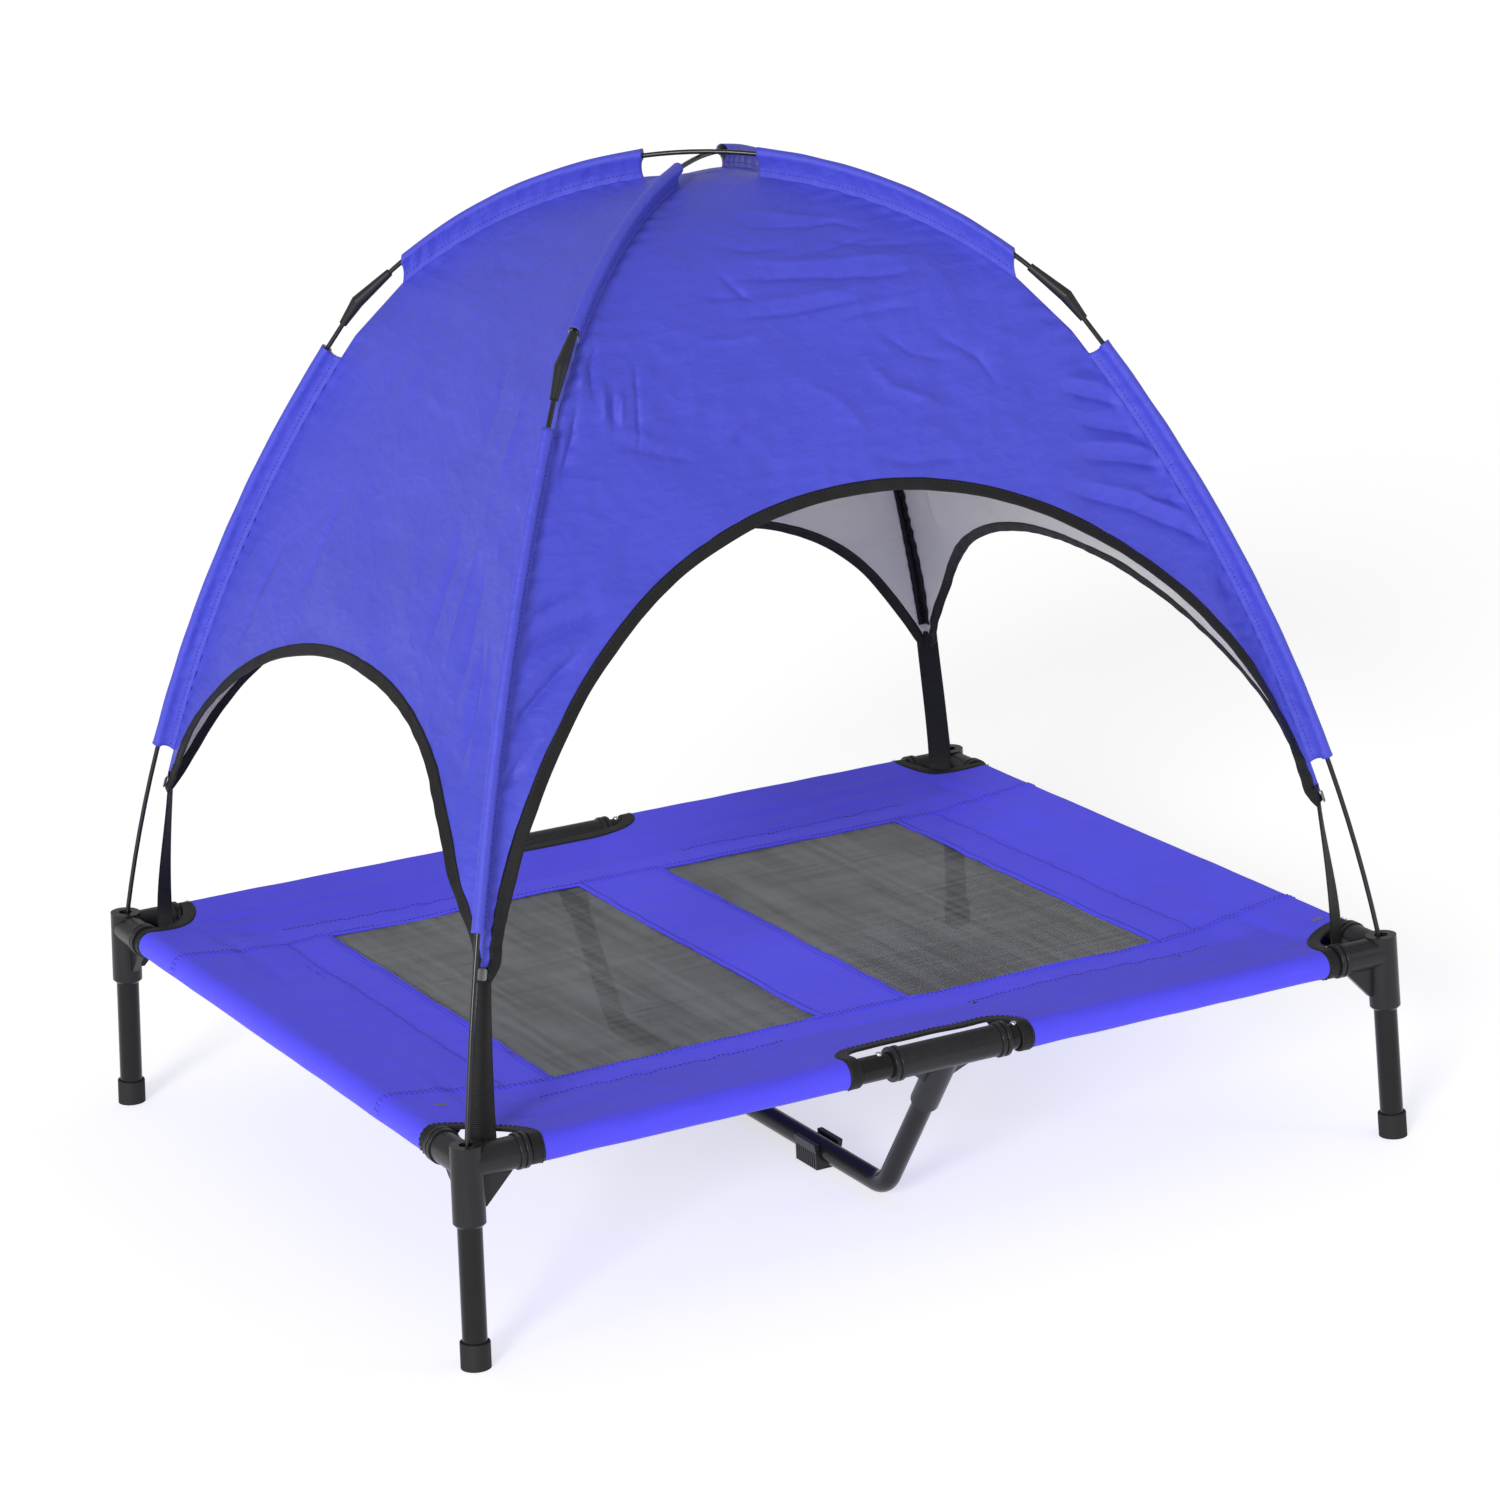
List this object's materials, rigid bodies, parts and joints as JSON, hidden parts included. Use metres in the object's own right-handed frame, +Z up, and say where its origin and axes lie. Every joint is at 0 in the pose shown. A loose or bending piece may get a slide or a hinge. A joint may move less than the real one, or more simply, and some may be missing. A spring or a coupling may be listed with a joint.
{
  "type": "raised pet cot with canopy",
  "caption": "Raised pet cot: slung cloth bed with mesh windows on a tube frame with moulded corners and a bent centre support, under a lift-off arched dome canopy on crossed rods.",
  "frame": {"origin": "on the floor under the middle of the cot", "axes": "+X along the long side to the right, -Y towards the front long side, +Z up"},
  "size_m": [0.9192, 0.7682, 0.88],
  "materials": {
    "moulded_plastic": "satin black moulded plastic",
    "elbow_plastic": "satin black moulded plastic",
    "steel_tube": "gloss black coated steel",
    "foot_rubber": "matt black rubber",
    "button_steel": "bright plated steel",
    "bed_fabric": "matt blue-violet woven cloth",
    "bed_mesh": "grey open-weave coated mesh",
    "canopy_fabric": "blue-violet woven cloth, silver-grey inside",
    "binding_tape": "black binding tape",
    "strap_webbing": "black webbing",
    "fibreglass_rod": "black fibreglass rod"
  },
  "bodies": {
    "frame": {"corner_connector_front_left": "moulded_plastic", "corner_connector_front_right": "moulded_plastic", "corner_connector_back_left": "moulded_plastic", "corner_connector_back_right": "moulded_plastic", "leg_tube_front_left": "steel_tube", "leg_tube_front_right": "steel_tube", "leg_tube_back_left": "steel_tube", "leg_tube_back_right": "steel_tube", "foot_cap_front_left": "foot_rubber", "foot_cap_front_right": "foot_rubber", "foot_cap_back_left": "foot_rubber", "foot_cap_back_right": "foot_rubber", "side_rail_front_left": "steel_tube", "side_rail_front_right": "steel_tube", "side_rail_back_left": "steel_tube", "side_rail_back_right": "steel_tube", "end_rail_left": "steel_tube", "end_rail_right": "steel_tube", "rail_tee_front": "moulded_plastic", "rail_tee_back": "moulded_plastic", "centre_support": "steel_tube", "support_foot_clip_front": "moulded_plastic", "support_foot_clip_back": "moulded_plastic", "rail_lock_springs": "button_steel", "bed_cloth": "bed_fabric", "mesh_panel_left": "bed_mesh", "mesh_panel_right": "bed_mesh", "bed_corner_bindings": "binding_tape", "bed_tee_bindings": "binding_tape"},
    "canopy": {"lower_rod_front_left": "fibreglass_rod", "lower_rod_front_right": "fibreglass_rod", "lower_rod_back_left": "fibreglass_rod", "lower_rod_back_right": "fibreglass_rod", "upper_rod_over": "fibreglass_rod", "upper_rod_under": "fibreglass_rod", "rod_elbow_front_left": "elbow_plastic", "rod_elbow_front_right": "elbow_plastic", "rod_elbow_back_left": "elbow_plastic", "rod_elbow_back_right": "elbow_plastic", "pole_sleeve_front_left": "canopy_fabric", "pole_sleeve_front_right": "canopy_fabric", "pole_sleeve_back_left": "canopy_fabric", "pole_sleeve_back_right": "canopy_fabric", "canopy_panel_front": "canopy_fabric", "canopy_panel_right": "canopy_fabric", "canopy_panel_back": "canopy_fabric", "canopy_panel_left": "canopy_fabric", "arch_binding_front": "binding_tape", "arch_binding_right": "binding_tape", "arch_binding_back": "binding_tape", "arch_binding_left": "binding_tape", "hold_down_strap_front_left": "strap_webbing", "hold_down_strap_front_right": "strap_webbing", "hold_down_strap_back_left": "strap_webbing", "hold_down_strap_back_right": "strap_webbing"},
    "lock_button_front_left": {"rail_lock_button_front_left": "button_steel"},
    "lock_button_front_right": {"rail_lock_button_front_right": "button_steel"},
    "lock_button_back_left": {"rail_lock_button_back_left": "button_steel"},
    "lock_button_back_right": {"rail_lock_button_back_right": "button_steel"}
  },
  "joints": [
    {"name": "canopy_lift", "type": "slide", "parent": "frame", "child": "canopy", "axis": [0, 0, 1], "range_m": [0, 0.25]},
    {"name": "lock_button_press_front_left", "type": "slide", "parent": "frame", "child": "lock_button_front_left", "axis": [0, 0, -1], "range_m": [0, 0.0025], "stiffness_N_per_m": 1500, "springref_m": -0.001},
    {"name": "lock_button_press_front_right", "type": "slide", "parent": "frame", "child": "lock_button_front_right", "axis": [0, 0, -1], "range_m": [0, 0.0025], "stiffness_N_per_m": 1500, "springref_m": -0.001},
    {"name": "lock_button_press_back_left", "type": "slide", "parent": "frame", "child": "lock_button_back_left", "axis": [0, 0, -1], "range_m": [0, 0.0025], "stiffness_N_per_m": 1500, "springref_m": -0.001},
    {"name": "lock_button_press_back_right", "type": "slide", "parent": "frame", "child": "lock_button_back_right", "axis": [0, 0, -1], "range_m": [0, 0.0025], "stiffness_N_per_m": 1500, "springref_m": -0.001}
  ]
}
